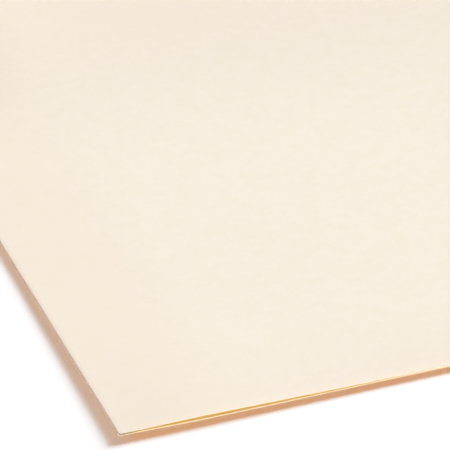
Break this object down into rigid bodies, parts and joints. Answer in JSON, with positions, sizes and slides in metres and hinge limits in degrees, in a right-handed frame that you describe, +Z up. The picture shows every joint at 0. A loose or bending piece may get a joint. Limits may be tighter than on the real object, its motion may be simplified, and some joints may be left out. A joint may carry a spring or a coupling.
{
  "type": "fastener folder",
  "caption": "Closed letter size manila folder: leaves joined along a fold, a reinforced tab, and prong fasteners with compressor bars and sliding locks inside.",
  "frame": {"origin": "middle of the footprint, on the table that the closed folder lies on", "axes": "+X from the fold to the tabbed open edge, +Y along the fold to the fastener end, +Z up"},
  "size_m": [0.2418, 0.2989, 0.0053],
  "materials": {
    "manila": "smooth uncoated manila card",
    "patch_paper": "uncoated kraft paper",
    "plated_steel": "thin plated steel strip"
  },
  "bodies": {
    "back_panel": {"back_leaf": "manila", "tab_ply": "manila", "spine_fold": "manila", "back_bonding_patch": "patch_paper", "back_fastener_base": "plated_steel", "back_compressor_bar": "plated_steel"},
    "front_panel": {"front_leaf": "manila", "front_bonding_patch": "patch_paper", "front_fastener_base": "plated_steel", "front_compressor_bar": "plated_steel"},
    "back_prong_l": {"back_prong_left": "plated_steel"},
    "back_prong_r": {"back_prong_right": "plated_steel"},
    "front_prong_l": {"front_prong_left": "plated_steel"},
    "front_prong_r": {"front_prong_right": "plated_steel"},
    "back_slide_l": {"back_slide_left": "plated_steel"},
    "back_slide_r": {"back_slide_right": "plated_steel"},
    "front_slide_l": {"front_slide_left": "plated_steel"},
    "front_slide_r": {"front_slide_right": "plated_steel"}
  },
  "joints": [
    {"name": "cover_hinge", "type": "hinge", "parent": "back_panel", "child": "front_panel", "pos_m": [-0.12041, 0, 0.00126], "axis": [0, -1, 0.0059], "range_deg": [0, 174], "deforming": ["spine_fold"]},
    {"name": "back_prong_left_fold", "type": "hinge", "parent": "back_panel", "child": "back_prong_l", "pos_m": [-0.04104, 0.12723, 0.00189], "axis": [0, -1, 0], "range_deg": [0, 90]},
    {"name": "back_prong_right_fold", "type": "hinge", "parent": "back_panel", "child": "back_prong_r", "pos_m": [0.02882, 0.12723, 0.00189], "axis": [0, 1, 0], "range_deg": [0, 90]},
    {"name": "front_prong_left_fold", "type": "hinge", "parent": "front_panel", "child": "front_prong_l", "pos_m": [-0.04104, 0.12723, 0.00345], "axis": [0, 1, 0], "range_deg": [0, 90]},
    {"name": "front_prong_right_fold", "type": "hinge", "parent": "front_panel", "child": "front_prong_r", "pos_m": [0.02882, 0.12723, 0.00345], "axis": [0, -1, 0], "range_deg": [0, 90]},
    {"name": "back_slide_left_lock", "type": "slide", "parent": "back_panel", "child": "back_slide_l", "axis": [-1, 0, 0], "range_m": [0, 0.025]},
    {"name": "back_slide_right_lock", "type": "slide", "parent": "back_panel", "child": "back_slide_r", "axis": [1, 0, 0], "range_m": [0, 0.025]},
    {"name": "front_slide_left_lock", "type": "slide", "parent": "front_panel", "child": "front_slide_l", "axis": [-1, 0, 0], "range_m": [0, 0.025]},
    {"name": "front_slide_right_lock", "type": "slide", "parent": "front_panel", "child": "front_slide_r", "axis": [1, 0, 0], "range_m": [0, 0.025]}
  ],
  "couplings": [
    {"joint": "back_prong_left_fold", "follows": "cover_hinge", "ratio": 0.51724},
    {"joint": "back_prong_right_fold", "follows": "cover_hinge", "ratio": 0.51724},
    {"joint": "front_prong_left_fold", "follows": "cover_hinge", "ratio": 0.51724},
    {"joint": "front_prong_right_fold", "follows": "cover_hinge", "ratio": 0.51724}
  ]
}
